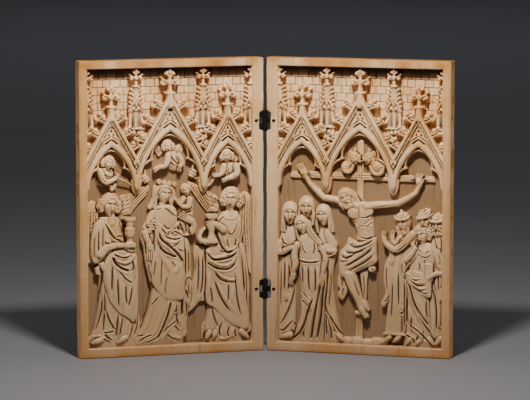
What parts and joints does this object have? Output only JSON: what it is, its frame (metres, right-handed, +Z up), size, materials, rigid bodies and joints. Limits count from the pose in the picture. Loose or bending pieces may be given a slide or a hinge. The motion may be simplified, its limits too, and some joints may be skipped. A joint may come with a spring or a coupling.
{
  "type": "diptych",
  "caption": "Carved ivory diptych: deep reliefs of figures under pointed arcades, on leaves joined by dark metal hinges and standing half open like a book.",
  "frame": {"origin": "on the floor, at the middle of the footprint of the half-open leaves", "axes": "+Z up; +X across both leaves, to the right of a person who looks at the carving; +Y from that person through the leaves to their backs"},
  "size_m": [0.2402, 0.0436, 0.19],
  "materials": {
    "ivory": "polished old ivory, yellowed, with grain lines and brown in the cuts",
    "hinge_metal": "blackened, pitted metal"
  },
  "bodies": {
    "left_panel": {"left_leaf": "ivory", "lower_hinge_left_strap": "hinge_metal", "lower_hinge_pin": "hinge_metal", "lower_hinge_left_rivet": "hinge_metal", "upper_hinge_left_strap": "hinge_metal", "upper_hinge_pin": "hinge_metal", "upper_hinge_left_rivet": "hinge_metal"},
    "right_panel": {"right_leaf": "ivory", "lower_hinge_right_strap": "hinge_metal", "lower_hinge_right_rivet": "hinge_metal", "upper_hinge_right_strap": "hinge_metal", "upper_hinge_right_rivet": "hinge_metal"}
  },
  "joints": [
    {"name": "fold", "type": "hinge", "parent": "left_panel", "child": "right_panel", "pos_m": [0, 0.01132, 0.095], "axis": [0, 0, 1], "range_deg": [-148, 32]}
  ]
}
